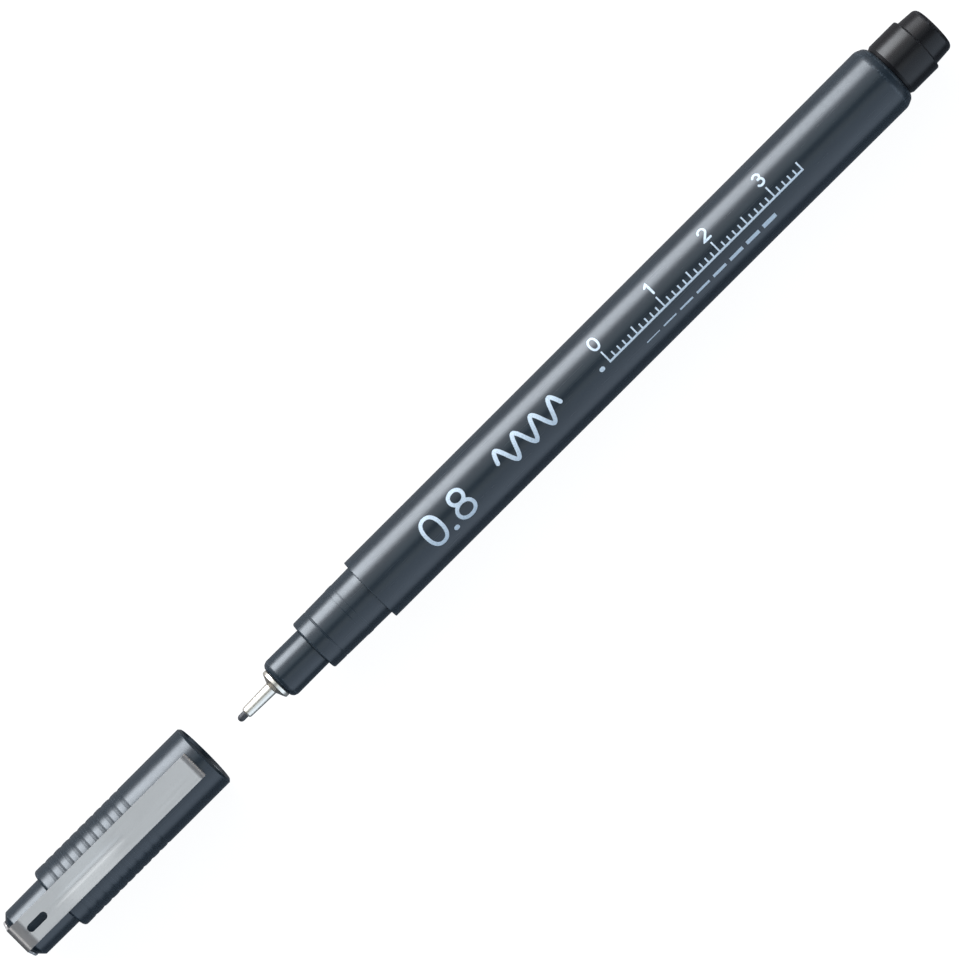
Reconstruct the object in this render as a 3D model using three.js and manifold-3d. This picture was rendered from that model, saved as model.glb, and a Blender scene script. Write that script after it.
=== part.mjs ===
// Technical pen (fibre-reservoir fineliner) with its cap drawn off the nib along the common axis.
// Millimetres, +Z up. X runs along the axis, from the cap's closed end to the tail. The clip is on top.

import * as THREE from "three";
import { mergeVertices } from "three/addons/utils/BufferGeometryUtils.js";
import Module from "manifold-3d";

const wasm = await Module();
wasm.setup();

// ---------------------------------------------------------------------------------------------
// Driving dimensions. Every x is counted along the axis from the nib's tip: the pen is on the
// positive side and the cap, 6.16 mm clear of the tip, on the negative side.
// ---------------------------------------------------------------------------------------------

const SEGMENTS = 32; // flats round every turned piece, a multiple of 4 so that one faces straight down
const FLAT_TO_CORNER = 1 / Math.cos(Math.PI / SEGMENTS); // radii below are to the flats
const ARC_STEPS = 4; // chords in a rounded edge

const TAIL_X = 127.4;
const CAP_MOUTH_X = -6.16;
const CAP_END_X = -40.5; // outermost ring of the clip's domed foot

const BARREL = {
  neckX: 13.69,
  shoulderX: 24.07,
  middleX: 95,
  roundX: 117.75,
  rearX: 119.06,
  neckFrontR: 3.91,
  neckRearR: 4.055,
  neckEdge: 0.3,
  shoulderR: 4.835,
  middleR: 4.9,
  tailR: 4.995,
  rearR: 4.16,
  neckBoreR: 2.9,
  boreR: 3.8,
  coneX: [24.8, 25.7], // the neck's bore opens into the barrel's bore
  witnessX: 15.99, // fine groove round the neck
  witnessWidth: 0.26,
  witnessDepth: 0.05,
  snapX: [19.9, 20.7], // raised ring that the cap clicks over
  snapHeight: 0.05,
  ribs: 4,
  ribX: [26.2, 112.5],
  ribWidth: 0.9,
  ribInnerR: 3.12,
};

const PLUG = {
  skirtX: 112.8,
  skirtR: 3.74,
  skirtBoreR: 2.9,
  bevelX: [119.1, 119.66], // from the barrel's mouth out to the head's full width
  bevelR: 3.86,
  stepX: 124.25,
  stepR: 4.12,
  stepEdge: 0.4,
  nozzleFrontR: 3.64,
  nozzleRearR: 3.42,
  endRound: 0.75,
  floorX: 121.5,
};

const HOLDER = {
  frontX: 7.14,
  faceR: 2.4,
  noseR: 2.985,
  noseX: 7.9, // rear end of the nose's rounded edge
  noseRearR: 2.95,
  collarX: 13.62,
  shankR: 2.86,
  rearX: 23.6,
  seatR: 1.65,
  seatX: 10.7,
  boreR: 1.09,
};

const SLEEVE = {
  mouthX: 1.3,
  mouthR: 0.66,
  swageX: 1.95, // the mouth is rolled in round the nib as far as here
  tipR: 0.8,
  rootX: 5.95,
  rootR: 0.9,
  rimX: 6.45,
  flangeX: 7.08,
  flangeR: 2.2,
  shankR: 1.6,
  shankX: 10.5,
  tipBoreR: 0.55,
  boreR: 1.05,
  coneX: [6.5, 6.9],
};

const NIB = { tipR: 0.5, tipLength: 0.52, bodyR: 1.0, coneX: [6.75, 7.25], rearX: 31.5, rearR: 0.6 };

const RESERVOIR = { x: [25.4, 112.0], r: 2.9, holeX: 31.9, holeR: 1.06 };
const WRAP = { x: [25.2, 112.3], innerR: 2.94, outerR: 3.04 };

const CAP = {
  mainR: 4.825,
  shoulderX: -32.85,
  shoulderRound: 0.95,
  crownFrontR: 3.845,
  crownRearR: 3.8,
  chamferX: -39.0,
  endX: -39.84,
  endR: 2.95,
  bossX: -40.35, // the clip's foot is held by a boss on the crown's end
  bossR: 0.9,
  mouthEdge: 0.35,
  boreR: 4.125,
  mouthBoreR: 4.3,
  linerX: -16.6, // the bore steps down here to hold the inner cap
  linerR: 4.06,
  linerEndX: -32.0,
  crownBoreR: 2.95,
  floorX: -38.4,
  snapX: [-10.5, -10.3, -9.5, -9.3], // groove in the bore that takes the neck's snap ring
  snapR: 4.2,
  grooves: 10,
  grooveX: -17.69,
  groovePitch: -1.46,
  grooveHalfWidth: 0.3,
  grooveDepth: 0.06,
};

const INNER_CAP = { endX: -31.85, floorX: -30.95, mouthX: -16.75, outerR: 4.0, boreR: 3.06, lead: 0.25 };

const CLIP = {
  width: 3.95,
  thickness: 0.35,
  topZ: 5.9,
  legX: -40.22, // outer face of the leg
  legZ: 3.4, // lower end of the part that springs
  creaseX: -38.05, // where the blade turns down towards the root bend, and by how many degrees
  creaseTilt: 28,
  rootBendR: 2.0, // outer radii of the two bends
  lipBendR: 0.96,
  endX: -7.6,
  slotX: -36.315,
  slotLength: 3.27,
  slotWidth: 1.1,
  beadX: [-33.42, -20.81],
  beadWidth: 1.0,
  beadDepth: 0.06,
};

// Disc at the lower end of the clip's leg, slightly domed.
const FOOT = { discR: 3.05, holeR: 1.0, domeR: 13.5, rimEdge: 0.2, legZ: [1.6, 3.1] };

const COLOURS = {
  slate: 0x39424b,
  black: 0x2b2c31,
  steel: 0xb4b8bc,
  brightSteel: 0xd8dadc,
  nib: 0x3c3c3f,
  liner: 0xd9dbd6,
  fibre: 0x23242a,
  film: 0xc9d2d8,
};

// ---------------------------------------------------------------------------------------------
// Shape helpers
// ---------------------------------------------------------------------------------------------

// Points of a rounded edge, centred on [x, r], between two angles in degrees counted from +X to +R.
function arc(x, r, radius, fromDegrees, toDegrees) {
  const points = [];
  for (let i = 0; i <= ARC_STEPS; i++) {
    const angle = THREE.MathUtils.degToRad(THREE.MathUtils.lerp(fromDegrees, toDegrees, i / ARC_STEPS));
    points.push([x + radius * Math.cos(angle), r + radius * Math.sin(angle)]);
  }
  return points;
}

// A turned piece from its half section: [x, radius] pairs in order round the outline. A section that
// starts and ends on the axis is solid there, and any other closes on itself as a ring.
function turned(section) {
  const points = section.map(([x, r]) => new THREE.Vector2(r * FLAT_TO_CORNER, x));
  if (THREE.ShapeUtils.area(points) < 0) points.reverse();
  if (points[0].x > 0) points.push(points[0].clone());
  const geometry = new THREE.LatheGeometry(points, SEGMENTS, Math.PI / SEGMENTS);
  return geometry.rotateZ(-Math.PI / 2);
}

// A manifold-3d solid from a closed three.js geometry.
function solid(geometry) {
  const bare = geometry.clone();
  bare.deleteAttribute("normal");
  bare.deleteAttribute("uv");
  const merged = mergeVertices(bare, 1e-4);
  const vertProperties = merged.attributes.position.array;
  const triVerts = new Uint32Array(merged.index.array);
  return new wasm.Manifold(new wasm.Mesh({ numProp: 3, vertProperties, triVerts }));
}

// A three.js geometry from a manifold-3d solid.
function geometryOf(made) {
  const { vertProperties, triVerts } = made.getMesh();
  const geometry = new THREE.BufferGeometry();
  geometry.setAttribute("position", new THREE.BufferAttribute(vertProperties, 3));
  geometry.setIndex(new THREE.BufferAttribute(triVerts, 1));
  geometry.computeVertexNormals();
  return geometry;
}

// A box between two x, two y and two z values.
function block([x0, x1], [y0, y1], [z0, z1]) {
  const geometry = new THREE.BoxGeometry(x1 - x0, y1 - y0, z1 - z0);
  return geometry.translate((x0 + x1) / 2, (y0 + y1) / 2, (z0 + z1) / 2);
}

// A bar with half-round ends lying along X, seen from above, between two z values.
function longHole(centreX, length, width, [z0, z1]) {
  const r = width / 2;
  const reach = length / 2 - r;
  const outline = new THREE.Shape();
  outline.absarc(reach, 0, r, -Math.PI / 2, Math.PI / 2, false);
  outline.absarc(-reach, 0, r, Math.PI / 2, (3 * Math.PI) / 2, false);
  const geometry = new THREE.ExtrudeGeometry(outline, {
    depth: z1 - z0,
    bevelEnabled: false,
    curveSegments: 6,
  });
  return geometry.translate(centreX, 0, z0);
}

function piece(name, geometry, colour, roughness, metalness) {
  const material = new THREE.MeshStandardMaterial({ color: colour, roughness, metalness });
  const mesh = new THREE.Mesh(geometry, material);
  mesh.name = name;
  return mesh;
}

// ---------------------------------------------------------------------------------------------
// Pen
// ---------------------------------------------------------------------------------------------

// Outer surface of the neck, from its front face to the barrel's shoulder.
function neckSection() {
  const b = BARREL;
  const slope = (b.neckRearR - b.neckFrontR) / (b.shoulderX - b.neckX);
  const at = (x, rise = 0) => [x, b.neckFrontR + slope * (x - b.neckX) + rise];
  const half = b.witnessWidth / 2;
  const [snapFront, snapRear] = b.snapX;
  return [
    ...arc(b.neckX + b.neckEdge, b.neckFrontR - b.neckEdge, b.neckEdge, 180, 90),
    at(b.witnessX - half),
    at(b.witnessX, -b.witnessDepth),
    at(b.witnessX + half),
    at(snapFront - b.snapHeight),
    at(snapFront, b.snapHeight),
    at(snapRear, b.snapHeight),
    at(snapRear + b.snapHeight),
    at(b.shoulderX),
  ];
}

// One-piece moulding: the printed barrel and the stepped neck that the cap slides over. Ribs
// inside hold the reservoir clear of the wall, so that air passes round it.
function barrel() {
  const b = BARREL;
  const shell = turned([
    ...neckSection(),
    [b.shoulderX, b.shoulderR],
    [b.middleX, b.middleR],
    [b.roundX, b.tailR],
    [b.roundX + 0.6, b.tailR - 0.13],
    [b.roundX + 1.1, b.tailR - 0.45],
    [b.rearX, b.rearR],
    [b.rearX, b.boreR],
    [b.coneX[1], b.boreR],
    [b.coneX[0], b.neckBoreR],
    [b.neckX, b.neckBoreR],
  ]);
  let made = solid(shell);
  for (let i = 0; i < b.ribs; i++) {
    const halfWidth = b.ribWidth / 2;
    const rib = block(b.ribX, [-halfWidth, halfWidth], [b.ribInnerR, b.boreR + 0.3]);
    rib.rotateX(((i + 0.5) / b.ribs) * 2 * Math.PI);
    made = made.add(solid(rib));
  }
  return piece("barrel", geometryOf(made), COLOURS.slate, 0.35, 0);
}

// Black stopper with a hollow skirt pressed into the barrel; the cap posts on its first step.
function tailPlug() {
  const p = PLUG;
  const section = [
    [p.floorX, 0],
    [p.floorX, p.skirtBoreR],
    [p.skirtX, p.skirtBoreR],
    [p.skirtX, p.skirtR - 0.15],
    [p.skirtX + 0.4, p.skirtR],
    [p.bevelX[0], p.skirtR],
    [p.bevelX[0], p.bevelR],
    [p.bevelX[1], p.stepR],
    ...arc(p.stepX - p.stepEdge, p.stepR - p.stepEdge, p.stepEdge, 90, 0),
    [p.stepX, p.nozzleFrontR],
    ...arc(TAIL_X - p.endRound, p.nozzleRearR - p.endRound, p.endRound, 90, 0),
    [TAIL_X, 0],
  ];
  return piece("tail_plug", turned(section), COLOURS.black, 0.3, 0);
}

// Nose that carries the steel sleeve; its shank is pressed into the neck.
function nibHolder() {
  const h = HOLDER;
  const section = [
    [h.frontX, h.seatR],
    [h.frontX, h.faceR],
    [h.frontX + 0.26, h.noseR - 0.24],
    [h.frontX + 0.5, h.noseR - 0.08],
    [h.noseX, h.noseR],
    [h.collarX, h.noseRearR],
    [h.collarX, h.shankR],
    [h.rearX - 0.4, h.shankR],
    [h.rearX, h.shankR - 0.3],
    [h.rearX, h.boreR],
    [h.seatX, h.boreR],
    [h.seatX, h.seatR],
  ];
  return piece("nib_holder", turned(section), COLOURS.slate, 0.35, 0);
}

// Drawn steel tube with a conical flange that stands on the nose.
function nibSleeve() {
  const s = SLEEVE;
  const section = [
    [s.mouthX, s.tipBoreR],
    [s.mouthX, s.mouthR],
    [s.mouthX + 0.2, s.tipR - 0.04],
    [s.swageX, s.tipR],
    [s.rootX, s.rootR],
    [s.rootX + 0.05, s.rootR + 0.2],
    [s.rimX, s.flangeR - 0.12],
    [s.rimX + 0.12, s.flangeR],
    [s.flangeX, s.flangeR],
    [s.flangeX, s.shankR],
    [s.shankX, s.shankR],
    [s.shankX, s.boreR],
    [s.coneX[1], s.boreR],
    [s.coneX[0], s.tipBoreR],
  ];
  return piece("nib_sleeve", turned(section), COLOURS.brightSteel, 0.2, 1);
}

// Plastic drawing point. Its stem runs back through the holder into the reservoir.
function nib() {
  const n = NIB;
  const section = [
    [0, 0],
    ...arc(n.tipR, 0, n.tipR, 180, 90).slice(1).map(([x, r]) => [(x * n.tipLength) / n.tipR, r]),
    [n.coneX[0], n.tipR],
    [n.coneX[1], n.bodyR],
    [n.rearX - 1.2, n.bodyR],
    [n.rearX, n.rearR],
    [n.rearX, 0],
  ];
  return piece("nib", turned(section), COLOURS.nib, 0.6, 0);
}

// Ink-soaked fibre rod, with a pocket for the nib's stem.
function inkReservoir() {
  const { x, r, holeX, holeR } = RESERVOIR;
  const section = [
    [holeX, 0],
    [holeX, holeR],
    [x[0], holeR],
    [x[0], r],
    [x[1], r],
    [x[1], 0],
  ];
  return piece("ink_reservoir", turned(section), COLOURS.fibre, 0.9, 0);
}

// Plastic film tube round the fibre rod.
function reservoirWrap() {
  const { x, innerR, outerR } = WRAP;
  const section = [
    [x[0], innerR],
    [x[0], outerR],
    [x[1], outerR],
    [x[1], innerR],
  ];
  return piece("reservoir_wrap", turned(section), COLOURS.film, 0.3, 0);
}

// ---------------------------------------------------------------------------------------------
// Cap
// ---------------------------------------------------------------------------------------------

// Shallow grooves round the cap, from the mouth side to the shoulder.
function gripGrooves() {
  const c = CAP;
  const points = [];
  for (let i = 0; i < c.grooves; i++) {
    const x = c.grooveX + i * c.groovePitch;
    points.push([x + c.grooveHalfWidth, c.mainR], [x, c.mainR - c.grooveDepth], [x - c.grooveHalfWidth, c.mainR]);
  }
  return points;
}

// Moulded cap with a smaller crown, open at the mouth. A boss on the crown's end holds the clip.
function capShell() {
  const c = CAP;
  const section = [
    [c.floorX, 0],
    [c.floorX, c.crownBoreR],
    [c.linerEndX, c.crownBoreR],
    [c.linerEndX, c.linerR],
    [c.linerX, c.linerR],
    [c.linerX, c.boreR],
    [c.snapX[0], c.boreR],
    [c.snapX[1], c.snapR],
    [c.snapX[2], c.snapR],
    [c.snapX[3], c.boreR],
    [CAP_MOUTH_X - 0.4, c.boreR],
    [CAP_MOUTH_X, c.mouthBoreR],
    [CAP_MOUTH_X, c.mainR - c.mouthEdge],
    [CAP_MOUTH_X - c.mouthEdge, c.mainR],
    ...gripGrooves(),
    ...arc(c.shoulderX + c.shoulderRound, c.mainR - c.shoulderRound, c.shoulderRound, 90, 180),
    [c.shoulderX, c.crownFrontR],
    [c.chamferX, c.crownRearR],
    [c.endX, c.endR],
    [c.endX, c.bossR],
    [c.bossX, c.bossR],
    [c.bossX, 0],
  ];
  return piece("cap_shell", turned(section), COLOURS.slate, 0.35, 0);
}

// Soft liner cup that closes over the nose when the cap is on.
function innerCap() {
  const c = INNER_CAP;
  const section = [
    [c.endX, 0],
    [c.endX, c.outerR],
    [c.mouthX, c.outerR],
    [c.mouthX, c.boreR + c.lead],
    [c.mouthX - c.lead, c.boreR],
    [c.floorX, c.boreR],
    [c.floorX, 0],
  ];
  return piece("inner_cap", turned(section), COLOURS.liner, 0.5, 0);
}

// ---------------------------------------------------------------------------------------------
// Clip
// ---------------------------------------------------------------------------------------------

// Lower end of the clip: a slightly domed disc on the crown's end, with the foot of the leg.
function clipFoot() {
  const { discR, holeR, domeR, rimEdge, legZ } = FOOT;
  const dome = (r) => [CAP_END_X + (r * r - holeR * holeR) / (2 * domeR), r];
  const outer = [holeR, 1.7, 2.3, discR - rimEdge].map(dome);
  const inner = [holeR, 1.7, 2.3, discR - 0.1].map(dome).map(([x, r]) => [x + CLIP.thickness, r]);
  const rimX = outer.at(-1)[0];
  const disc = turned([
    ...outer,
    [rimX + 0.06, discR - 0.05],
    [rimX + rimEdge, discR],
    [inner.at(-1)[0], discR],
    ...inner.reverse(),
  ]);
  const halfWidth = CLIP.width / 2;
  const leg = block([CLIP.legX, CLIP.legX + CLIP.thickness], [-halfWidth, halfWidth], legZ);
  return piece("clip_foot", geometryOf(solid(disc).add(solid(leg))), COLOURS.steel, 0.35, 1);
}

// Side outline of the bent strip: leg, root bend, short slope, blade and the lip at its free end.
function clipOutline() {
  const c = CLIP;
  const t = c.thickness;
  const tilt = THREE.MathUtils.degToRad(c.creaseTilt);
  const rootX = c.legX + c.rootBendR;
  const slopeLength = c.creaseX - (rootX - c.rootBendR * Math.sin(tilt));
  const rootZ = c.topZ - slopeLength * Math.tan(tilt) - c.rootBendR * Math.cos(tilt);
  const lipX = c.endX - c.lipBendR;
  const lipZ = c.topZ - c.lipBendR;
  const quarter = Math.PI / 2;
  const outline = new THREE.Shape();
  outline.moveTo(c.legX + t, c.legZ);
  outline.absarc(rootX, rootZ, c.rootBendR - t, 2 * quarter, quarter + tilt, true);
  outline.lineTo(c.creaseX + t * Math.tan(tilt / 2), c.topZ - t);
  outline.absarc(lipX, lipZ, c.lipBendR - t, quarter, 0, true);
  outline.absarc(lipX, lipZ, c.lipBendR, 0, quarter, false);
  outline.lineTo(c.creaseX, c.topZ);
  outline.absarc(rootX, rootZ, c.rootBendR, quarter + tilt, 2 * quarter, false);
  outline.lineTo(c.legX, c.legZ);
  return outline;
}

// Spring-steel strip bent over the crown. A long hole is pierced near the root, and a stiffening bead
// is pressed down along the blade's middle line. It springs where the leg is parted from the foot.
function clip() {
  const c = CLIP;
  const strip = new THREE.ExtrudeGeometry(clipOutline(), {
    depth: c.width,
    bevelEnabled: false,
    curveSegments: 8,
  });
  strip.rotateX(Math.PI / 2).translate(0, c.width / 2, 0);
  const underZ = c.topZ - c.thickness;
  const beadLength = c.beadX[1] - c.beadX[0];
  const beadX = (c.beadX[0] + c.beadX[1]) / 2;
  const hole = longHole(c.slotX, c.slotLength, c.slotWidth, [underZ - 0.5, c.topZ + 0.5]);
  const ridge = longHole(beadX, beadLength, c.beadWidth, [underZ - c.beadDepth, underZ + 0.1]);
  const bead = longHole(beadX, beadLength - 0.3, c.beadWidth - 0.3, [c.topZ - c.beadDepth, c.topZ + 0.5]);
  const made = solid(strip).add(solid(ridge)).subtract(solid(bead)).subtract(solid(hole));
  return piece("clip", geometryOf(made), COLOURS.steel, 0.35, 1);
}

// ---------------------------------------------------------------------------------------------
// Assembly
// ---------------------------------------------------------------------------------------------

const penParts = new THREE.Group();
penParts.add(barrel(), tailPlug(), nibHolder(), nibSleeve(), nib(), inkReservoir(), reservoirWrap());

const capParts = new THREE.Group();
capParts.add(capShell(), innerCap(), clipFoot(), clip());

// The origin is under the middle of the pen and cap, on the surface that they lie on.
const pen = new THREE.Group();
pen.add(penParts, capParts);
pen.position.set(-(TAIL_X + CAP_END_X) / 2, 0, BARREL.tailR);

export default pen;
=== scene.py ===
"""Technical pen with its cap drawn off the nib: visible surfaces, print, materials, light and camera.

Lengths are in millimetres. Along the pen, x is counted from the nib's tip towards the tail, and y and z
are counted from the pen's axis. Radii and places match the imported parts, and place() takes every mesh
from there to the frame, in metres.
"""
import math

import bmesh
import bpy
from mathutils import Matrix, Vector


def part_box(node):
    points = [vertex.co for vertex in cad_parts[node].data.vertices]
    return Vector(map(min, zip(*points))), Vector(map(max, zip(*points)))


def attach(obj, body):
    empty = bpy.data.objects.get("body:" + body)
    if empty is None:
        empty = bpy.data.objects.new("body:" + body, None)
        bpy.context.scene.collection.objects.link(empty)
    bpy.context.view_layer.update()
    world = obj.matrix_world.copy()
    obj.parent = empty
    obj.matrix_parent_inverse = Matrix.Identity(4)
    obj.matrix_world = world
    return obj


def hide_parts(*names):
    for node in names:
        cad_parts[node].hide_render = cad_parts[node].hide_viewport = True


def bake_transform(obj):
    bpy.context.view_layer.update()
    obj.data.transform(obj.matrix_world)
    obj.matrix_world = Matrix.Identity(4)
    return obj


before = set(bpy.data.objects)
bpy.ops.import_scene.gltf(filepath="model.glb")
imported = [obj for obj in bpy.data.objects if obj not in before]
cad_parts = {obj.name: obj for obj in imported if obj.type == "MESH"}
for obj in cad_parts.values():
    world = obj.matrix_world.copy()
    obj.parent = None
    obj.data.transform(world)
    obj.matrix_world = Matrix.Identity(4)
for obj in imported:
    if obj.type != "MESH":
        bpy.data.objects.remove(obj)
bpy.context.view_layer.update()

MM = 0.001
NIB_LOW, NIB_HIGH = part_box("nib")
TIP = Vector((NIB_LOW.x, 0, (NIB_LOW.z + NIB_HIGH.z) / 2))
TO_FRAME = Matrix.Translation(TIP) @ Matrix.Scale(MM, 4)


def along(metres):
    """Distance from the nib's tip, in millimetres, of a place along X in the frame."""
    return (metres - TIP.x) / MM


# ----------------------------------------------------------------------------------------------
# Driving dimensions
# ----------------------------------------------------------------------------------------------

SEGMENTS = 144
LONGEST_SPAN = 4.0  # rings along a turned piece are no further apart than this
ARC_STEP = math.radians(12)
SHARP = math.radians(28)

TAIL_X = along(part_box("tail_plug")[1].x)
CAP_END_X = along(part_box("clip_foot")[0].x)
CAP_MOUTH_X = along(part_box("cap_shell")[1].x)
BARREL_FRONT_X = along(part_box("barrel")[0].x)
BARREL_REAR_X = along(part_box("barrel")[1].x)

NECK_R, NECK_TAPER = 3.91, 0.145  # radius at the front, and what it grows by up to the shoulder
SHOULDER_X, SHOULDER_R = 24.07, 4.835
MIDDLE_X, MIDDLE_R = 95.0, 4.9
REAR_ROUND_X, TAIL_R = 117.75, 4.995

CAP_R = 4.825
GROOVES = 10
GROOVE_X, GROOVE_PITCH = -17.69, -1.46
GROOVE_DEPTH = 0.088

CLIP_HALF_WIDTH = 1.975
CLIP_THICKNESS = 0.35
CLIP_TOP_Z = 5.9
LEG_X = -40.22  # outer face of the clip's leg
LIP_X = -7.6
BEAD_X = (-33.42, -20.81)
BEAD_DEPTH = 0.015
DISH_DEPTH = 0.1
SLOT_X, SLOT_LENGTH, SLOT_WIDTH = -36.315, 3.27, 1.1


# ----------------------------------------------------------------------------------------------
# Outlines and turned pieces
# ----------------------------------------------------------------------------------------------


def rounded(before, corner, after, radius):
    """Points of the arc that rounds a corner between two straight lines."""
    to_before = (before - corner).normalized()
    to_after = (after - corner).normalized()
    half = to_before.angle(to_after) / 2
    reach = min(radius / math.tan(half), 0.49 * (before - corner).length, 0.49 * (after - corner).length)
    radius = reach * math.tan(half)
    centre = corner + (to_before + to_after).normalized() * (radius / math.sin(half))
    start = corner + to_before * reach - centre
    turn = math.pi - 2 * half
    if to_before.x * start.y - to_before.y * start.x < 0:
        turn = -turn
    steps = max(2, math.ceil(abs(turn) / ARC_STEP))
    return [centre + Matrix.Rotation(turn * i / steps, 2) @ start for i in range(steps + 1)]


def outline(corners, closed):
    """Points and edge marks of a half section from (x, radius) or (x, radius, rounding) corners."""
    points = []
    count = len(corners)
    for i, (x, r, *rounding) in enumerate(corners):
        corner = Vector((x, r))
        ends = not closed and i in (0, count - 1)
        if rounding and not ends:
            before = Vector(corners[i - 1][:2])
            after = Vector(corners[(i + 1) % count][:2])
            bend = rounded(before, corner, after, rounding[0])
            points += [(p, 0.0 if p in (bend[0], bend[-1]) else 1.0) for p in bend]
        else:
            points.append((corner, 0.0))
    spaced = []
    for i, (point, mark) in enumerate(points):
        spaced.append((point, mark))
        if i + 1 < len(points):
            following = points[i + 1][0]
            spans = math.ceil((following - point).length / LONGEST_SPAN)
            spaced += [(point.lerp(following, k / spans), 0.0) for k in range(1, spans)]
    return spaced


def turned(name, corners):
    """A piece turned about the axis from the corners of its half section, in order round it."""
    closed = corners[0][1] > 0
    points = outline(corners, closed)
    work = bmesh.new()
    wear = work.verts.layers.float.new("wear")
    rings = []
    for (x, r), mark in points:
        turns = [0] if r < 1e-6 else [2 * math.pi * k / SEGMENTS for k in range(SEGMENTS)]
        ring = [work.verts.new((x, r * math.sin(a), r * math.cos(a))) for a in turns]
        for vert in ring:
            vert[wear] = mark
        rings.append(ring)
    following = rings[1:] + (rings[:1] if closed else [])
    for ring, beside in zip(rings, following):
        for k in range(SEGMENTS):
            n = (k + 1) % SEGMENTS
            if len(ring) == 1:
                work.faces.new((ring[0], beside[k], beside[n]))
            elif len(beside) == 1:
                work.faces.new((ring[k], beside[0], ring[n]))
            else:
                work.faces.new((ring[k], beside[k], beside[n], ring[n]))
    return piece_from(name, work)


def piece_from(name, work):
    """An object, still in millimetres, from a closed bmesh."""
    bmesh.ops.recalc_face_normals(work, faces=work.faces)
    mesh = bpy.data.meshes.new(name)
    work.to_mesh(mesh)
    work.free()
    piece = bpy.data.objects.new(name, mesh)
    bpy.context.scene.collection.objects.link(piece)
    return piece


def combine(piece, other, operation):
    """Joins the other solid to the piece (UNION), or takes it out of the piece (DIFFERENCE)."""
    modifier = piece.modifiers.new("combine", "BOOLEAN")
    modifier.operation = operation
    modifier.solver = "EXACT"
    modifier.object = other
    graph = bpy.context.evaluated_depsgraph_get()
    mesh = bpy.data.meshes.new_from_object(piece.evaluated_get(graph))
    piece.modifiers.clear()
    piece.data = mesh
    bpy.data.objects.remove(other)


def finished(piece, material):
    """Takes a piece to the frame, with its material and smooth shading."""
    mesh = piece.data
    mesh.transform(TO_FRAME)
    mesh.shade_smooth()
    mesh.set_sharp_from_angle(angle=SHARP)
    mesh.materials.clear()
    mesh.materials.append(material)


def place(piece, body, material, replaced=None):
    """Finishes a piece, gives it its body, and hides the node that it stands for."""
    finished(piece, material)
    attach(piece, body)
    if replaced:
        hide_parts(replaced)


# ----------------------------------------------------------------------------------------------
# Materials
# ----------------------------------------------------------------------------------------------


class Shader:
    """A Principled material that is built up node by node."""

    def __init__(self, name):
        self.material = bpy.data.materials.new(name)
        self.material.use_nodes = True
        self.tree = self.material.node_tree
        self.principled = self.tree.nodes["Principled BSDF"]
        self.place = self.node("ShaderNodeTexCoord").outputs["Object"]

    def node(self, kind, **settings):
        made = self.tree.nodes.new(kind)
        for key, value in settings.items():
            setattr(made, key, value)
        return made

    def link(self, source, target):
        self.tree.links.new(source, target)

    def constants(self, **values):
        """Sets sockets of the Principled shader, with underscores for the spaces in their names."""
        for key, value in values.items():
            self.principled.inputs[key.replace("_", " ")].default_value = value

    def noise(self, scale, stretch=(1, 1, 1), detail=2.0):
        """Noise with so many cells to the metre, drawn out along an axis where stretch is under 1."""
        mapping = self.node("ShaderNodeMapping")
        mapping.inputs["Scale"].default_value = stretch
        self.link(self.place, mapping.inputs["Vector"])
        made = self.node("ShaderNodeTexNoise")
        made.inputs["Scale"].default_value = scale
        made.inputs["Detail"].default_value = detail
        self.link(mapping.outputs["Vector"], made.inputs["Vector"])
        return made.outputs["Fac"]

    def spread(self, source, low, high, from_low=0.3, from_high=0.7):
        """A value moved from one range to another."""
        made = self.node("ShaderNodeMapRange")
        limits = {"From Min": from_low, "From Max": from_high, "To Min": low, "To Max": high}
        for key, value in limits.items():
            made.inputs[key].default_value = value
        self.link(source, made.inputs["Value"])
        return made.outputs["Result"]

    def times(self, first, second):
        made = self.node("ShaderNodeMath", operation="MULTIPLY")
        self.link(first, made.inputs[0])
        self.link(second, made.inputs[1])
        return made.outputs["Value"]

    def plus(self, first, second):
        made = self.node("ShaderNodeMath", operation="ADD")
        self.link(first, made.inputs[0])
        self.link(second, made.inputs[1])
        return made.outputs["Value"]

    def between(self, factor, low, high):
        """A colour mixed between two colours, or a colour and the socket that gives another."""
        made = self.node("ShaderNodeMix", data_type="RGBA")
        self.link(factor, made.inputs["Factor"])
        for socket, colour in (("A", low), ("B", high)):
            target = [i for i in made.inputs if i.name == socket and i.type == "RGBA"][0]
            if isinstance(colour, tuple):
                target.default_value = (*colour, 1)
            else:
                self.link(colour, target)
        return [o for o in made.outputs if o.type == "RGBA"][0]

    def edges(self):
        """Worn edges: the marks left on rounded edges, broken up by noise."""
        mark = self.node("ShaderNodeAttribute", attribute_name="wear").outputs["Fac"]
        return self.times(mark, self.spread(self.noise(2500), 0, 1, 0.42, 0.7))

    def bump(self, height, distance, before=None):
        made = self.node("ShaderNodeBump")
        made.inputs["Distance"].default_value = distance
        self.link(height, made.inputs["Height"])
        if before:
            self.link(before, made.inputs["Normal"])
        return made.outputs["Normal"]

    def finish(self, colour, roughness, normal):
        self.link(colour, self.principled.inputs["Base Color"])
        self.link(roughness, self.principled.inputs["Roughness"])
        self.link(normal, self.principled.inputs["Normal"])
        return self.material


def scaled(colour, factor):
    return tuple(c * factor for c in colour)


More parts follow.
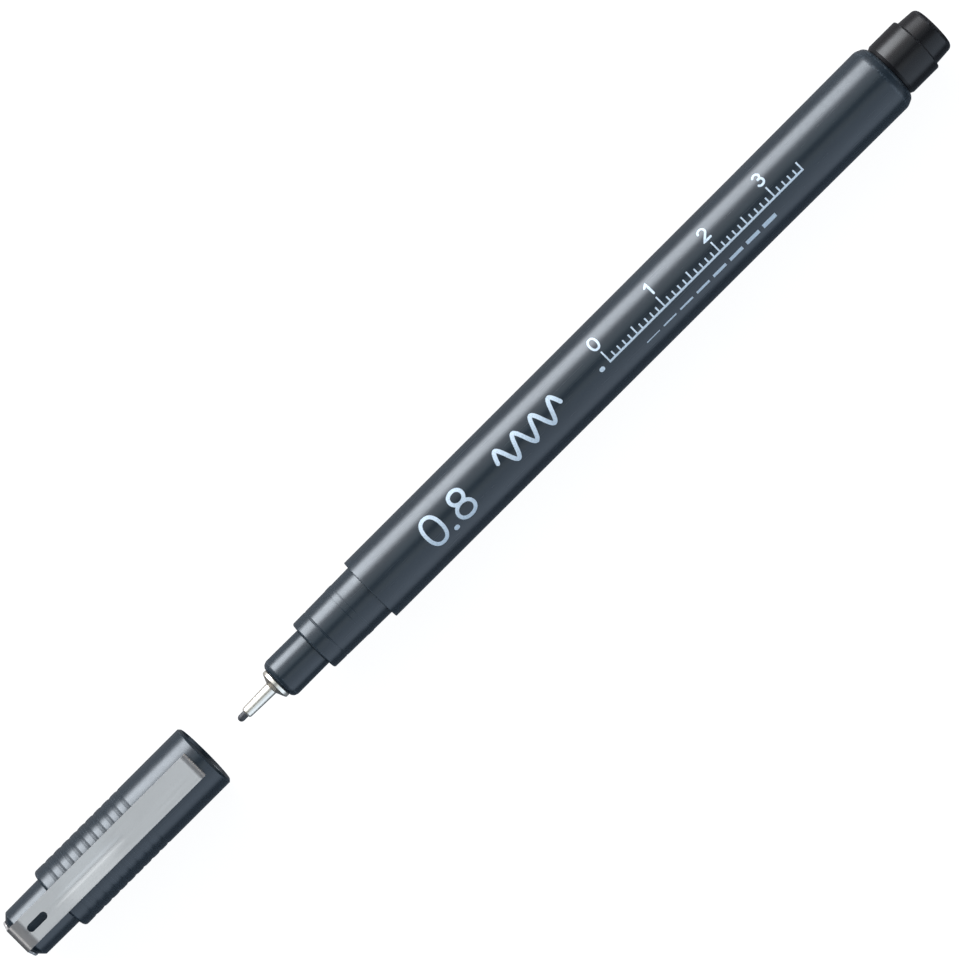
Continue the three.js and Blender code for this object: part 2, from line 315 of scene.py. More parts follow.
def moulded(name, colour, roughness, worn, ior=1.47, gloss_tint=(1, 1, 1)):
    """Moulded plastic: faint flow mottling, an even fine grain, hairline scuffs and worn edges. The tint
    is the colour of its gloss, as seen straight on."""
    s = Shader(name)
    s.constants(IOR=ior, Specular_Tint=(*gloss_tint, 1))
    flow = s.spread(s.noise(420, (0.25, 1, 1)), 0, 1)
    mottled = s.between(flow, scaled(colour, 0.9), scaled(colour, 1.1))
    edges = s.edges()
    base = s.between(s.spread(edges, 0, 0.45, 0, 1), mottled, worn)
    scuffs = s.spread(s.noise(5200, (0.03, 1, 1), 4), 0, 1, 0.62, 0.78)
    soft = s.spread(s.noise(1500), roughness - 0.025, roughness + 0.025)
    rough = s.plus(s.plus(soft, s.spread(scuffs, 0, 0.1, 0, 1)), s.spread(edges, 0, 0.12, 0, 1))
    grain = s.bump(s.noise(3400, detail=3), 0.0000012)
    return s.finish(base, rough, s.bump(scuffs, -0.0000012, grain))


def drawn_steel(name, colour, metallic, roughness, grain):
    """Satin steel with faint lines from rolling or drawing along the pen's axis. The finish scatters a
    part of the light, which is the part that isn't metallic here."""
    s = Shader(name)
    s.constants(Metallic=metallic)
    lines = s.noise(grain, (0.02, 1, 1), 5)
    clouds = s.noise(300, (0.4, 1, 1))
    tone = s.between(s.spread(clouds, 0, 1), scaled(colour, 0.98), scaled(colour, 1.02))
    base = s.between(s.spread(lines, 0, 0.25), tone, scaled(colour, 0.86))
    polished = s.spread(s.edges(), 0, -0.08, 0, 1)
    rough = s.plus(s.spread(lines, roughness - 0.02, roughness + 0.03), polished)
    return s.finish(base, rough, s.bump(lines, 0.0000006))


def worn_point():
    """Porous plastic point, soaked with ink and rubbed paler where it has drawn."""
    s = Shader("nib_point")
    pores = s.noise(9000, detail=4)
    ink = s.between(s.spread(pores, 0, 1), (0.018, 0.018, 0.02), (0.06, 0.06, 0.064))
    return s.finish(ink, s.spread(pores, 0.45, 0.7), s.bump(pores, 0.00001))


def fibre():
    """Bundle of ink-soaked fibres that run along the axis."""
    s = Shader("reservoir_fibre")
    strands = s.noise(7000, (0.02, 1, 1), 4)
    tone = s.between(s.spread(strands, 0, 1), (0.008, 0.008, 0.012), (0.04, 0.04, 0.055))
    return s.finish(tone, s.spread(strands, 0.75, 0.95), s.bump(strands, 0.00004))


def film():
    """Thin clear film, slightly wrinkled round the fibre."""
    s = Shader("reservoir_film")
    s.constants(Alpha=0.5, IOR=1.5)
    wrinkles = s.noise(900, (0.2, 1, 1), 3)
    tone = s.between(s.spread(wrinkles, 0, 1), (0.5, 0.56, 0.6), (0.66, 0.7, 0.73))
    return s.finish(tone, s.spread(wrinkles, 0.12, 0.25), s.bump(wrinkles, 0.00004))


def printed_ink():
    """Screen-printed ink: nearly opaque, a little thin in places."""
    s = Shader("print_ink")
    s.constants(IOR=1.45)
    thin = s.noise(5200, detail=4)
    tone = s.between(s.spread(thin, 0, 1, 0.25, 0.6), (0.4, 0.47, 0.53), (0.56, 0.64, 0.7))
    return s.finish(tone, s.spread(thin, 0.36, 0.5), s.bump(thin, 0.000002))


SLATE = (0.0155, 0.0225, 0.029)
SLATE_WORN = (0.09, 0.11, 0.13)
BLACK = (0.0065, 0.0065, 0.0075)
BLACK_WORN = (0.045, 0.046, 0.05)

MATERIALS = {
    "barrel": moulded("barrel_plastic", SLATE, 0.24, SLATE_WORN),
    "cap": moulded("cap_plastic", SLATE, 0.24, SLATE_WORN),
    "plug": moulded("plug_plastic", BLACK, 0.26, BLACK_WORN, 1.36, (1, 0.96, 0.92)),
    "liner": moulded("liner_plastic", (0.05, 0.055, 0.06), 0.42, (0.1, 0.1, 0.11)),
    "clip": drawn_steel("clip_steel", (0.94, 0.9, 0.865), 0.93, 0.34, 5200),
    "sleeve": drawn_steel("sleeve_steel", (0.74, 0.68, 0.59), 0.85, 0.28, 9000),
    "nib": worn_point(),
    "fibre": fibre(),
    "film": film(),
    "ink": printed_ink(),
}


# ----------------------------------------------------------------------------------------------
# Pen
# ----------------------------------------------------------------------------------------------


def barrel_radius(x):
    """Outer radius of the printed barrel at x."""
    if x < MIDDLE_X:
        return SHOULDER_R + (MIDDLE_R - SHOULDER_R) * (x - SHOULDER_X) / (MIDDLE_X - SHOULDER_X)
    return MIDDLE_R + (TAIL_R - MIDDLE_R) * (x - MIDDLE_X) / (REAR_ROUND_X - MIDDLE_X)


def neck_radius(x):
    """Outer radius of the neck at x."""
    return NECK_R + NECK_TAPER * (x - BARREL_FRONT_X) / (SHOULDER_X - BARREL_FRONT_X)


def barrel():
    """The printed barrel and the stepped neck, with the neck's witness groove and snap ring."""
    witness_x, witness_half, witness_depth = 15.99, 0.17, 0.06
    snap_front, snap_rear, snap_height = 19.9, 20.7, 0.045
    corners = [
        # front of the neck
        (BARREL_FRONT_X, 2.9, 0.1),
        (BARREL_FRONT_X, neck_radius(BARREL_FRONT_X), 0.3),
        # witness groove
        (witness_x - witness_half, neck_radius(witness_x), 0.1),
        (witness_x, neck_radius(witness_x) - witness_depth, 0.06),
        (witness_x + witness_half, neck_radius(witness_x), 0.1),
        # snap ring
        (snap_front - 0.2, neck_radius(snap_front), 0.2),
        (snap_front + 0.05, neck_radius(snap_front) + snap_height, 0.2),
        (snap_rear - 0.05, neck_radius(snap_rear) + snap_height, 0.2),
        (snap_rear + 0.2, neck_radius(snap_rear), 0.2),
        # shoulder, printed length and rounded rear end
        (SHOULDER_X, neck_radius(SHOULDER_X), 0.08),
        (SHOULDER_X, SHOULDER_R, 0.08),
        (MIDDLE_X, MIDDLE_R),
        (REAR_ROUND_X, TAIL_R, 1.4),
        (118.74, 4.56, 0.8),
        (BARREL_REAR_X, 4.16, 0.12),
        # bore, narrower in the neck
        (BARREL_REAR_X, 3.8, 0.06),
        (25.7, 3.8),
        (24.8, 2.9),
    ]
    place(turned("barrel_body", corners), "pen", MATERIALS["barrel"], "barrel")


def tail_plug():
    """Black two-step stopper."""
    corners = [
        # hollow shank inside the barrel
        (121.5, 0),
        (121.5, 2.9, 0.2),
        (112.8, 2.9, 0.1),
        (112.8, 3.6, 0.1),
        (113.2, 3.74, 0.2),
        (119.1, 3.74, 0.05),
        # bevel, head and step
        (119.1, 3.86, 0.05),
        (119.66, 4.12, 0.15),
        (124.25, 4.12, 0.42),
        (124.25, 3.64, 0.12),
        # tapered end with a shallow recess
        (TAIL_X, 3.42, 0.8),
        (TAIL_X, 1.3, 0.08),
        (TAIL_X - 0.12, 1.15, 0.08),
        (TAIL_X - 0.12, 0),
    ]
    place(turned("tail_plug_body", corners), "pen", MATERIALS["plug"], "tail_plug")


def nib_holder():
    """The nose that carries the sleeve."""
    corners = [
        # rounded nose
        (7.14, 1.65, 0.04),
        (7.14, 2.42, 0.1),
        (7.4, 2.78, 0.5),
        (7.92, 2.985, 0.8),
        (13.62, 2.95, 0.06),
        # shank inside the neck
        (13.62, 2.86, 0.04),
        (23.2, 2.86, 0.05),
        (23.6, 2.56, 0.05),
        # bore for the stem, and the sleeve's seat
        (23.6, 1.09),
        (10.7, 1.09),
        (10.7, 1.65),
    ]
    place(turned("nib_holder_body", corners), "pen", MATERIALS["barrel"], "nib_holder")


def nib_sleeve():
    """Drawn steel tube with its conical flange and rolled-in mouth."""
    corners = [
        # rolled-in mouth and tube
        (1.3, 0.55, 0.02),
        (1.3, 0.66, 0.05),
        (1.5, 0.77, 0.2),
        (2.0, 0.8, 0.4),
        # flange
        (5.95, 0.9, 0.14),
        (6.42, 2.02, 0.3),
        (6.55, 2.2, 0.16),
        (7.08, 2.2, 0.1),
        # shank inside the nose
        (7.08, 1.6, 0.03),
        (10.5, 1.6, 0.05),
        # bore round the stem and the point
        (10.5, 1.05),
        (6.9, 1.05),
        (6.5, 0.55),
    ]
    place(turned("nib_sleeve_body", corners), "pen", MATERIALS["sleeve"], "nib_sleeve")


def nib():
    """Round-ended drawing point and its stem."""
    radius, length, steps = 0.5, 0.52, 10
    corners = [(0, 0)]
    for i in range(1, steps + 1):
        a = math.pi / 2 * i / steps
        corners.append((length * (1 - math.cos(a)), radius * math.sin(a)))
    corners += [(6.75, 0.5, 0.1), (7.25, 1.0, 0.1), (30.3, 1.0), (31.5, 0.6, 0.1), (31.5, 0)]
    place(turned("nib_point", corners), "pen", MATERIALS["nib"], "nib")


def reservoir():
    """The ink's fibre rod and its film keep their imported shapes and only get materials."""
    for node, material in (("ink_reservoir", "fibre"), ("reservoir_wrap", "film")):
        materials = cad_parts[node].data.materials
        materials.clear()
        materials.append(MATERIALS[material])


# ----------------------------------------------------------------------------------------------
# Cap
# ----------------------------------------------------------------------------------------------


def grip_grooves():
    """Corners of the crowned lands between the shallow grooves, from the mouth side to the shoulder."""
    half_pitch = abs(GROOVE_PITCH) / 2
    half_width, crown = 0.33, 0.008
    corners = []
    for i in range(GROOVES):
        x = GROOVE_X + i * GROOVE_PITCH
        corners += [
            (x + half_width, CAP_R - crown, 0.3),
            (x, CAP_R - GROOVE_DEPTH, 0.02),
            (x - half_width, CAP_R - crown, 0.3),
        ]
        if i + 1 < GROOVES:
            corners.append((x - half_pitch, CAP_R, 2.0))
    return corners


def cap_shell():
    """Moulded cap with its smaller crown, and the boss that holds the clip's foot."""
    corners = [
        # cavity of the crown, and the liner's seat
        (-38.4, 0),
        (-38.4, 2.95, 0.2),
        (-32.0, 2.95, 0.05),
        (-32.0, 4.06, 0.05),
        (-16.6, 4.06, 0.03),
        # bore for the neck, with its snap groove and flared mouth
        (-16.6, 4.125, 0.03),
        (-10.5, 4.125, 0.1),
        (-10.3, 4.2, 0.1),
        (-9.5, 4.2, 0.1),
        (-9.3, 4.125, 0.1),
        (CAP_MOUTH_X - 0.4, 4.125, 0.1),
        (CAP_MOUTH_X, 4.3, 0.04),
        # outside, from the mouth to the shoulder
        (CAP_MOUTH_X, CAP_R - 0.32, 0.05),
        (CAP_MOUTH_X - 0.3, CAP_R, 0.15),
        *grip_grooves(),
        (-32.85, CAP_R, 0.95),
        # crown
        (-32.85, 3.845, 0.1),
        (-39.0, 3.8, 0.3),
        (-39.84, 2.95, 0.1),
        # boss through the clip's foot
        (-39.84, 0.9, 0.05),
        (-40.35, 0.9, 0.08),
        (-40.35, 0),
    ]
    place(turned("cap_body", corners), "cap", MATERIALS["cap"], "cap_shell")


def inner_cap():
    """Soft liner cup inside the cap."""
    corners = [
        (-31.85, 0),
        (-31.85, 4.0, 0.2),
        (-16.75, 4.0, 0.1),
        (-16.75, 3.31, 0.06),
        (-17.0, 3.06, 0.06),
        (-30.95, 3.06, 0.2),
        (-30.95, 0),
    ]
    place(turned("inner_cap_body", corners), "cap", MATERIALS["liner"], "inner_cap")


# ----------------------------------------------------------------------------------------------
# Clip
# ----------------------------------------------------------------------------------------------


def smooth(value):
    """0 to 1 with soft ends, as value goes from 0 to 1."""
    value = min(max(value, 0), 1)
    return value * value * (3 - 2 * value)


def clip_line():
    """Middle line of the strip from its foot to its lip: (x, z, direction), direction in radians."""
    half = CLIP_THICKNESS / 2
    foot_z = 1.5
    root, lip = 2.0 - half, 0.96 - half
    crease_x, tilt, crease_radius = -38.05, 28, 1.2
    left = LEG_X + half
    top = CLIP_TOP_Z - half
    lip_end_x = LIP_X - half
    step, bend_steps = 0.24, 14
    line = []

    def straight(x0, z0, x1, z1, heading):
        count = max(1, round(math.hypot(x1 - x0, z1 - z0) / step))
        for i in range(count):
            line.append((x0 + (x1 - x0) * i / count, z0 + (z1 - z0) * i / count, heading))

    def bend(centre_x, centre_z, radius, start, turn):
        """A clockwise bend, from the heading start through turn degrees."""
        for i in range(bend_steps):
            heading = math.radians(start - turn * i / bend_steps)
            x = centre_x - radius * math.sin(heading)
            z = centre_z + radius * math.cos(heading)
            line.append((x, z, heading))

    slope = math.radians(tilt)
    corner = crease_radius * math.tan(slope / 2)
    foot_of_slope = left + root * (1 - math.sin(slope))
    root_z = top - (crease_x - foot_of_slope) * math.tan(slope) - root * math.cos(slope)
    straight(left, foot_z, left, root_z, math.radians(90))
    bend(left + root, root_z, root, 90, 90 - tilt)
    straight(
        foot_of_slope,
        root_z + root * math.cos(slope),
        crease_x - corner * math.cos(slope),
        top - corner * math.sin(slope),
        slope,
    )
    bend(crease_x + corner, top - crease_radius, crease_radius, tilt, tilt)
    straight(crease_x + corner, top, lip_end_x - lip, top, 0)
    bend(lip_end_x - lip, top - lip, lip, 0, 90)
    line.append((lip_end_x, top - lip, math.radians(-90)))
    return line


def pressed(x, y):
    """How far the blade is pressed down at a place: the bead, and the shallow dish that it leaves."""
    inset, outer_radius, wall = 0.36, 0.58, 0.36
    nearest = min(max(x, BEAD_X[0] + inset), BEAD_X[1] - inset)
    bead = smooth((outer_radius - math.hypot(x - nearest, y)) / wall)
    fade_in, fade_out, overrun = 4.0, 5.0, 1.0
    lengthwise = smooth((x - BEAD_X[0]) / fade_in) * smooth((BEAD_X[1] + overrun - x) / fade_out)
    crosswise = max(0, 1 - abs(y) / CLIP_HALF_WIDTH)
    return BEAD_DEPTH * bead + DISH_DEPTH * lengthwise * crosswise


def strip_section(half_width):
    """Places across the strip, (y, height, wear), round from its outer face, with sheared edges."""
    drawn, drop, square = 0.02, 0.05, 0.03
    height = CLIP_THICKNESS / 2
    rows = 26
    flat = half_width - drawn
    outer = [(flat * (2 * i / rows - 1), height, 0.0) for i in range(rows + 1)]
    right = [
        (half_width, height - drop, 0.5),
        (half_width, -height + square, 0.5),
        (half_width - square, -height, 0.5),
    ]
    inner = [(-y, -height, 0.0) for y, _, _ in outer]
    left = [(-y, h, w) for y, h, w in reversed(right)]
    return outer + right + inner + left


def clip_foot():
    """Slightly domed disc at the foot of the leg, with the hole for the cap's boss."""
    radius, hole, dome = 3.05, 1.0, 13.5

    def domed(r):
        return CAP_END_X + (r * r - hole * hole) / (2 * dome)

    corners = [(domed(hole), hole, 0.06)]
    corners += [(domed(r), r) for r in (1.3, 1.6, 1.9, 2.2, 2.5, 2.75)]
    corners += [(domed(2.9) - 0.01, 2.95, 0.15), (domed(2.9) + 0.12, radius, 0.12)]
    corners += [(domed(2.95) + CLIP_THICKNESS, radius, 0.03)]
    corners += [(domed(r) + CLIP_THICKNESS, r) for r in (2.95, 2.3, 1.7, hole)]
    return turned("clip_disc", corners)


def clip():
    """One strip of spring steel: domed foot, leg, root bend, and a blade with a pierced hole, a pressed
    bead and a turned-down lip."""
    foot_flare, flare_top_z, flare_length = 0.45, 3.4, 1.4
    work = bmesh.new()
    wear = work.verts.layers.float.new("wear")
    rings = []
    for x, z, heading in clip_line():
        on_leg = x < LEG_X + 1
        flare = foot_flare * smooth((flare_top_z - z) / flare_length) if on_leg else 0
        outward = (-math.sin(heading), math.cos(heading))
        on_blade = abs(heading) < 1e-6
        ring = []
        for y, height, mark in strip_section(CLIP_HALF_WIDTH + flare):
            reach = height - (pressed(x, y) if on_blade else 0)
            vert = work.verts.new((x + outward[0] * reach, y, z + outward[1] * reach))
            vert[wear] = mark
            ring.append(vert)
        rings.append(ring)
    for ring, beside in zip(rings, rings[1:]):
        count = len(ring)
        for k in range(count):
            n = (k + 1) % count
            work.faces.new((ring[k], ring[n], beside[n], beside[k]))
    work.faces.new(rings[0])
    work.faces.new(rings[-1])
    piece = piece_from("clip_strip", work)
    combine(piece, long_hole(SLOT_X, SLOT_LENGTH, SLOT_WIDTH), "DIFFERENCE")
    combine(piece, clip_foot(), "UNION")
    finished(piece, MATERIALS["clip"])
    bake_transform(piece)
    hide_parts("clip", "clip_foot")


def long_hole(centre_x, length, width):
    """Cutter for a long hole through the blade."""
    radius = width / 2
    reach = length / 2 - radius
    steps = 16
    work = bmesh.new()
    rings = []
    for z in (CLIP_TOP_Z - CLIP_THICKNESS - 1, CLIP_TOP_Z + 1):
        ring = []
        for side, first in ((1, -90), (-1, 90)):
            for i in range(steps + 1):
                a = math.radians(first + 180 * i / steps)
                x = centre_x + side * reach + radius * math.cos(a)
                ring.append(work.verts.new((x, radius * math.sin(a), z)))
        rings.append(ring)
    low, high = rings
    for k in range(len(low)):
        n = (k + 1) % len(low)
        work.faces.new((low[k], low[n], high[n], high[k]))
    work.faces.new(low)
    work.faces.new(high)
    return piece_from("cutter", work)


# ----------------------------------------------------------------------------------------------
# Print on the barrel: (s, w) is a place on the unrolled surface, s along x and w up towards +Y
# ----------------------------------------------------------------------------------------------

INK_TOP, INK_ROOT = 0.014, -0.03  # height of a mark's face and root above the barrel's surface
INK_STEP = 0.22


def resampled(points, closed):
    """The polyline with points no further apart than the step."""
    out = []
    ends = points[1:] + (points[:1] if closed else [])
    for a, b in zip(points, ends):
        count = max(1, math.ceil((b - a).length / INK_STEP))
        out += [a.lerp(b, i / count) for i in range(count)]
    return out if closed else out + [points[-1]]


def stroke_rows(points, width, closed, round_ends):
    """Rows (middle, sideways, half width) that follow a stroke, with rounded ends if asked for."""
    half = width / 2
    rows = []
    count = len(points)
    least_cosine, longest_mitre = 0.5, 1.6
    for i, point in enumerate(points):
        before = points[i - 1] if closed or i else point
        after = points[(i + 1) % count] if closed or i + 1 < count else point
        way_in = (point - before).normalized() if point != before else (after - point).normalized()
        way_out = (after - point).normalized() if after != point else way_in
        middle = (way_in + way_out).normalized()
        mitre = min(1 / max(middle.dot(way_in), least_cosine), longest_mitre)
        rows.append((point, Vector((-middle.y, middle.x)), half * mitre))
    if closed or not round_ends:
        return rows
    steps, narrowest = 5, 0.04
    for end, near, side in ((0, 1, 0), (count - 1, count - 2, 1)):
        outward = (points[end] - points[near]).normalized()
        sideways = rows[0][1] if side == 0 else rows[-1][1]
        cap = []
        for i in range(1, steps + 1):
            a = math.pi / 2 * i / steps
            narrowed = half * max(math.cos(a), narrowest)
            cap.append((points[end] + outward * half * math.sin(a), sideways, narrowed))
        rows = rows + cap if side else cap[::-1] + rows
    return rows


def wrapped(point, rise):
    """A place on the unrolled surface, wrapped on the barrel and raised."""
    radius = barrel_radius(point.x)
    angle = point.y / radius
    reach = radius + rise
    return (point.x, reach * math.sin(angle), reach * math.cos(angle))


def ink_stroke(work, points, width, closed=False, round_ends=True):
    """Adds one stroke to the mark's bmesh as a thin closed solid wrapped on the barrel."""
    points = resampled([Vector(p) for p in points], closed)
    sections = []
    for point, sideways, half in stroke_rows(points, width, closed, round_ends):
        across = [point + sideways * (half * k) for k in (-1, 0, 1)]
        face = [work.verts.new(wrapped(p, INK_TOP)) for p in across]
        root = [work.verts.new(wrapped(p, INK_ROOT)) for p in reversed(across)]
        sections.append(face + root)
    following = sections[1:] + (sections[:1] if closed else [])
    for section, beside in zip(sections, following):
        count = len(section)
        for k in range(count):
            n = (k + 1) % count
            work.faces.new((section[k], section[n], beside[n], beside[k]))
    if not closed:
        work.faces.new(sections[0])
        work.faces.new(sections[-1])


def curve(centre, radii, start, end, power=2.0, steps=28):
    """Points of an oval arc between two angles in degrees; a power over 2 squares the oval."""
    points = []
    for i in range(steps + 1):
        a = math.radians(start + (end - start) * i / steps)
        c, s = math.cos(a), math.sin(a)
        x = radii[0] * math.copysign(abs(c) ** (2 / power), c)
        y = radii[1] * math.copysign(abs(s) ** (2 / power), s)
        points.append((centre[0] + x, centre[1] + y))
    return points


def loop(centre, radii, power=2.3, steps=44):
    return curve(centre, radii, 0, 360, power, steps)[:-1]


def numeral(digit):
    """Strokes of a numeral 1 high, on a base line at 0: (points, closed), and its width."""
    shapes = {
        "0": ([(loop((0.33, 0.5), (0.33, 0.5)), True)], 0.66),
        "1": ([([(0.0, 0.76), (0.26, 1.0), (0.26, 0.0)], False)], 0.3),
        "2": (
            [(curve((0.31, 0.69), (0.3, 0.31), 165, -35, steps=16) + [(0.0, 0.0), (0.62, 0.0)], False)],
            0.62,
        ),
        "3": (
            [
                (curve((0.3, 0.75), (0.27, 0.25), 150, -90, steps=14), False),
                (curve((0.3, 0.265), (0.3, 0.265), 90, -150, steps=16), False),
            ],
            0.6,
        ),
        "8": (
            [
                (loop((0.33, 0.765), (0.265, 0.235), 2.1), True),
                (loop((0.33, 0.265), (0.33, 0.265), 2.1), True),
            ],
            0.66,
        ),
    }
    return shapes[digit]


def ink_numeral(work, digit, left, base, height, stroke):
    """One numeral, standing on base with its ink from left, its strokes drawn inside its height."""
    strokes, _ = numeral(digit)
    inner = height - stroke
    for points, closed in strokes:
        moved = [(left + stroke / 2 + x * inner, base + stroke / 2 + y * inner) for x, y in points]
        ink_stroke(work, moved, stroke, closed)


def mark(name, draw):
    """One printed mark as a piece, drawn by the given function."""
    work = bmesh.new()
    draw(work)
    place(piece_from(name, work), "pen", MATERIALS["ink"])


def size_numerals(work):
    """The line width, 0.8."""
    base, height, stroke = -2.69, 4.5, 0.52
    point_w = base + 0.36
    ink_numeral(work, "0", 33.8, base, height, stroke)
    ink_stroke(work, [(37.7, point_w), (37.9, point_w)], 0.62)
    ink_numeral(work, "8", 38.8, base, height, stroke)


def wave_sample(work):
    """A wavy line, as the pen would draw it."""
    start, end, middle, swing, waves = 47.3, 58.7, -0.15, 1.45, 3.5
    steps = 112
    points = []
    for i in range(steps + 1):
        share = i / steps
        w = middle + swing * math.sin(2 * math.pi * waves * share)
        points.append((start + (end - start) * share, w))
    ink_stroke(work, points, 0.58)


def scale_rule(work):
    """A millimetre scale 35 mm long with numerals for the centimetres."""
    start, length, base = 66.9, 35, -1.05
    overhang = 0.13
    ink_stroke(work, [(start - overhang, base), (start + length + overhang, base)], 0.28, round_ends=False)
    for i in range(length + 1):
        tick = 1.75 if i % 10 == 0 else 1.3 if i % 5 == 0 else 0.85
        ink_stroke(work, [(start + i, base), (start + i, base + tick)], 0.22, round_ends=False)
    height, stroke, rise = 2.1, 0.32, 2.15
    for centimetre in range(4):
        digit = str(centimetre)
        width = numeral(digit)[1] * (height - stroke) + stroke
        ink_numeral(work, digit, start + 10 * centimetre - width / 2, base + rise, height, stroke)
    dot_x = 65.35
    ink_stroke(work, [(dot_x, base), (dot_x + 0.2, base)], 0.6)


def width_gauge(work):
    """A row of dashes that grow thicker, as line widths do through the range."""
    start, pitch, dash, middle = 72.0, 3.02, 2.3, -2.85
    dashes, thinnest, growth = 8, 0.14, 0.07
    for i in range(dashes):
        left = start + i * pitch
        ink_stroke(work, [(left, middle), (left + dash, middle)], thinnest + growth * i, round_ends=False)


# ----------------------------------------------------------------------------------------------
# Floor, light and camera
# ----------------------------------------------------------------------------------------------


def floor():
    """Plain pale floor, which only the camera sees."""
    work = bmesh.new()
    bmesh.ops.create_grid(work, x_segments=1, y_segments=1, size=8)
    mesh = bpy.data.meshes.new("floor")
    work.to_mesh(mesh)
    work.free()
    made = bpy.data.objects.new("floor", mesh)
    bpy.context.scene.collection.objects.link(made)
    s = Shader("floor_paper")
    s.constants(Roughness=0.9, Specular_IOR_Level=0.0, Emission_Strength=0.93, Emission_Color=(1, 1, 1, 1))
    tone = s.between(s.noise(30), (0.14, 0.14, 0.14), (0.16, 0.16, 0.16))
    s.link(tone, s.principled.inputs["Base Color"])
    mesh.materials.append(s.material)
    made.visible_glossy = False
    made.visible_diffuse = False
    made.visible_shadow = False


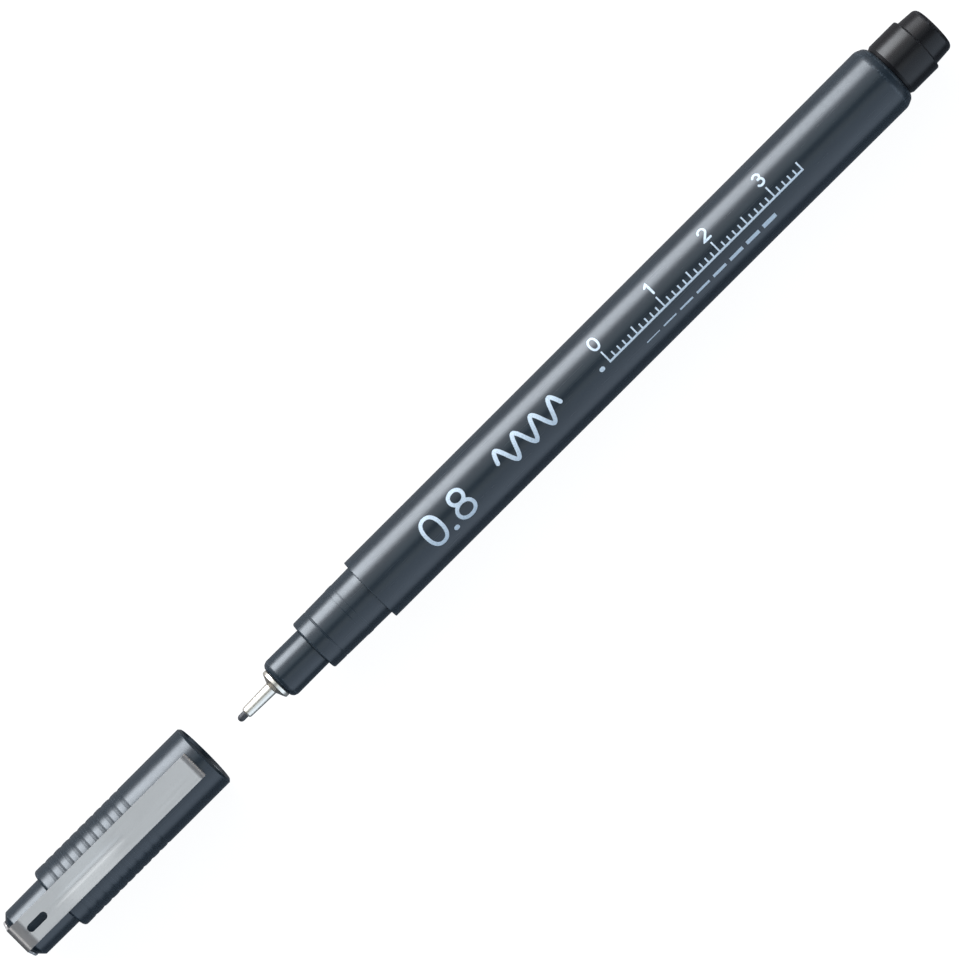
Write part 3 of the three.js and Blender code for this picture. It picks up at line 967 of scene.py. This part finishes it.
def studio():
    """Soft light from all round: a bright softbox above the +Y side, a dim fill overhead with a gap behind
    the camera, a broad fill on each side, and a low one at each end. It is drawn in the sky, by
    direction."""
    world = bpy.data.worlds.new("studio")
    bpy.context.scene.world = world
    world.use_nodes = True
    tree = world.node_tree
    background = tree.nodes["Background"]

    def math_node(operation, *inputs):
        made = tree.nodes.new("ShaderNodeMath")
        made.operation = operation
        for socket, value in zip(made.inputs, inputs):
            if isinstance(value, (int, float)):
                socket.default_value = value
            else:
                tree.links.new(value, socket)
        return made.outputs["Value"]

    def levels(source, low, high, stops):
        """Brightness from stops of (place, level), with places from low to high."""
        placed = math_node("DIVIDE", math_node("SUBTRACT", source, low), high - low)
        ramp = tree.nodes.new("ShaderNodeValToRGB")
        elements = ramp.color_ramp.elements
        elements.remove(elements[0])
        for i, (where, level) in enumerate(stops):
            share = (where - low) / (high - low)
            element = elements[0] if i == 0 else elements.new(share)
            element.position = share
            element.color = (level, level, level, 1)
        tree.links.new(placed, ramp.inputs["Fac"])
        return ramp.outputs["Color"]

    def mixed(kind, first, second):
        made = tree.nodes.new("ShaderNodeMix")
        made.data_type = "RGBA"
        made.blend_type = kind
        made.inputs["Factor"].default_value = 1
        a, b = [i for i in made.inputs if i.type == "RGBA"]
        tree.links.new(first, a)
        if isinstance(second, tuple):
            b.default_value = (*second, 1)
        else:
            tree.links.new(second, b)
        return [o for o in made.outputs if o.type == "RGBA"][0]

    axes = tree.nodes.new("ShaderNodeSeparateXYZ")
    tree.links.new(tree.nodes.new("ShaderNodeTexCoord").outputs["Generated"], axes.inputs["Vector"])
    lengthwise = axes.outputs["X"]
    round_pen = math_node("DEGREES", math_node("ARCTAN2", axes.outputs["Y"], axes.outputs["Z"]))

    def softbox(colour, across, along_pen, height=None):
        """Light of a colour, with its levels round the pen in degrees from straight up, + towards +Y, its
        levels lengthwise, from -X at -1 to +X at 1, and by height, from straight down at -1 to up at 1."""
        shape = mixed("MULTIPLY", levels(round_pen, -180, 180, across), levels(lengthwise, -1, 1, along_pen))
        if height:
            shape = mixed("MULTIPLY", shape, levels(axes.outputs["Z"], -1, 1, height))
        return mixed("MULTIPLY", shape, colour)

    gap = [(-14, 0.8), (-5, 0.06), (5, 0.06), (14, 0.95)]
    all_round = [(-180, 1), (180, 1)]
    most_of_length = [(-1, 0.1), (-0.65, 0.12), (-0.45, 1), (0.5, 1), (0.7, 0.2), (1, 0.12)]

    key = softbox(
        (12.0, 13.0, 14.1),
        across=[(-180, 0), (42, 0), (58, 1), (80, 1), (93, 0), (180, 0)],
        along_pen=[(-1, 0), (-0.4, 0), (-0.28, 1), (-0.08, 1), (0.05, 0.74), (0.2, 0.74), (0.3, 0), (1, 0)],
    )
    overhead_fill = softbox(
        (1.12, 1.27, 1.36),
        across=[(-180, 0), (-32, 0), (-20, 0.85), *gap, (24, 1), (34, 0), (180, 0)],
        along_pen=[(-1, 0.03), (-0.4, 0.03), (-0.2, 1), (0.2, 1), (0.4, 0.03), (1, 0.03)],
    )
    minus_y_fill = softbox(
        (1.4, 1.68, 2.05),
        across=[
            (-180, 0.08),
            (-104, 0.08),
            (-90, 0.85),
            (-75, 1),
            (-45, 0.75),
            (-30, 0.62),
            (-20, 0),
            (180, 0),
        ],
        along_pen=most_of_length,
    )
    plus_y_fill = softbox(
        (1.5, 1.5, 1.58),
        across=[(-180, 0), (24, 0), (34, 0.9), (92, 0.9), (104, 0.3), (135, 0.22), (180, 0.1)],
        along_pen=most_of_length,
    )
    cap_end_fill = softbox(
        (1.1, 1.1, 1.1),
        across=all_round,
        along_pen=[(-1, 1), (-0.985, 1), (-0.96, 0), (1, 0)],
        height=[(-1, 0), (0, 0), (0.06, 1), (1, 1)],
    )
    tail_end_fill = softbox(
        (0.4, 0.4, 0.4),
        across=all_round,
        along_pen=[(-1, 0), (0.8, 0), (0.9, 1), (1, 1)],
        height=[(-1, 0), (-0.6, 0), (-0.45, 1), (0, 1), (0.1, 0), (1, 0)],
    )
    light = key
    for fill in (overhead_fill, minus_y_fill, plus_y_fill, cap_end_fill, tail_end_fill):
        light = mixed("ADD", light, fill)
    tree.links.new(light, background.inputs["Color"])


def camera():
    """Straight down on the pen, its tail to the upper right, with a long lens."""
    focal_px, image_px, sensor = 5550, 960, 36
    px_per_mm = 7.706
    aim_x = 44.2
    roll = math.radians(44.94)
    data = bpy.data.cameras.new("camera")
    data.sensor_width = sensor
    data.lens = sensor * focal_px / image_px
    made = bpy.data.objects.new("camera", data)
    bpy.context.scene.collection.objects.link(made)
    made.location = TO_FRAME @ Vector((aim_x, 0, focal_px / px_per_mm))
    made.rotation_euler = (0, 0, -roll)
    bpy.context.scene.camera = made


def main():
    barrel()
    tail_plug()
    nib_holder()
    nib_sleeve()
    nib()
    cap_shell()
    inner_cap()
    clip()
    mark("print_size", size_numerals)
    mark("print_wave", wave_sample)
    mark("print_scale", scale_rule)
    mark("print_gauge", width_gauge)
    reservoir()
    floor()
    studio()
    camera()
    settings = bpy.context.scene.view_settings
    settings.view_transform = "Standard"
    settings.look = "None"


main()
